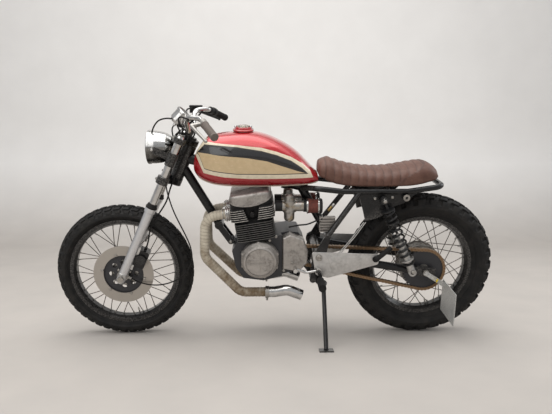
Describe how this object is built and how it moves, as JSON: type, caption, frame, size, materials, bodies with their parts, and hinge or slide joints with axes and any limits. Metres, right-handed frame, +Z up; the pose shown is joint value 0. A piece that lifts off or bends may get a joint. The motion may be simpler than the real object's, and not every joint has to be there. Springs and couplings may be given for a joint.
{
  "type": "cafe racer motorcycle",
  "caption": "Leaning cafe racer motorcycle with laced wheels, pod filters, wrapped exhausts, a ribbed seat and turning wheels, steering and side stand.",
  "frame": {"origin": "on the ground at the centre of the parked machine's outline", "axes": "+X rearwards, +Y to the machine's right, +Z up; the machine leans to its left on its side stand"},
  "size_m": [2.0548, 0.7813, 1.0987],
  "materials": {
    "black_paint": "satin",
    "black_plastic": "matt",
    "brown_grip": "matt",
    "chain_steel": "rusty",
    "chrome": "polished",
    "disc_steel": "brushed",
    "engine_alloy": "satin",
    "engine_black": "satin",
    "filter_mesh": "mesh",
    "fork_alloy": "satin",
    "glass": "clear",
    "hub_alloy": "satin",
    "leather": "worn",
    "red_paint": "gloss",
    "rim_black": "gloss",
    "rubber": "matt",
    "steel": "satin",
    "tyre": "matt",
    "white_plate": "blank",
    "wrap": "woven"
  },
  "bodies": {
    "chassis": {"air_filters": "filter_mesh", "alternator_cover": "engine_alloy", "carburettors": "engine_alloy", "clutch_cover": "engine_alloy", "crankcase": "engine_black", "cylinder_block": "engine_black", "cylinder_head": "engine_black", "drive_chain": "chain_steel", "exhaust_headers": "wrap", "exhaust_tips": "chrome", "foot_levers": "chrome", "footpegs": "rubber", "frame": "black_paint", "fuel_cap": "chrome", "fuel_tank": "red_paint", "head_cover": "engine_alloy", "number_plate": "white_plate", "peg_plates": "engine_alloy", "pivot_bolt": "steel", "rear_axle": "steel", "rear_brake_plate": "hub_alloy", "regulator": "engine_black", "seat": "leather", "seat_rails": "black_paint", "shock_dampers": "fork_alloy", "shock_springs": "black_paint", "sprocket_cover": "engine_black", "swingarm": "black_paint"},
    "steering": {"upper_yoke": "black_paint", "lower_yoke": "black_paint", "fork_stanchions": "chrome", "fork_sliders": "fork_alloy", "front_axle": "steel", "headlamp_shell": "chrome", "headlamp_lens": "glass", "headlamp_ears": "black_paint", "speedometer": "chrome", "handlebar": "chrome", "grips": "brown_grip", "clutch_lever": "fork_alloy", "brake_lever": "black_plastic", "brake_caliper": "black_paint", "brake_hose": "rubber", "speedo_cable": "rubber"},
    "front_wheel": {"front_tyre": "tyre", "front_rim": "rim_black", "front_hub": "hub_alloy", "front_disc": "disc_steel", "disc_carrier": "rim_black"},
    "rear_wheel": {"rear_tyre": "tyre", "rear_rim": "rim_black", "rear_hub": "hub_alloy", "rear_sprocket": "chain_steel"},
    "stand": {"side_stand": "black_paint"}
  },
  "joints": [
    {"name": "steering_turn", "type": "hinge", "parent": "chassis", "child": "steering", "pos_m": [-0.45365, 0.03618, 0.75545], "axis": [0.4147, -0.1861, 0.8907], "range_deg": [-38, 38]},
    {"name": "front_wheel_spin", "type": "hinge", "parent": "steering", "child": "front_wheel", "pos_m": [-0.709, 0.12857, 0.31321], "axis": [0, 0.9789, 0.2045], "continuous": true},
    {"name": "rear_wheel_spin", "type": "hinge", "parent": "chassis", "child": "rear_wheel", "pos_m": [0.681, 0.12298, 0.33993], "axis": [0, 0.9789, 0.2045], "continuous": true},
    {"name": "stand_fold", "type": "hinge", "parent": "chassis", "child": "stand", "pos_m": [0.212, 0.00817, 0.26357], "axis": [0.0223, -0.8643, 0.5025], "range_deg": [0, 84.2]}
  ]
}
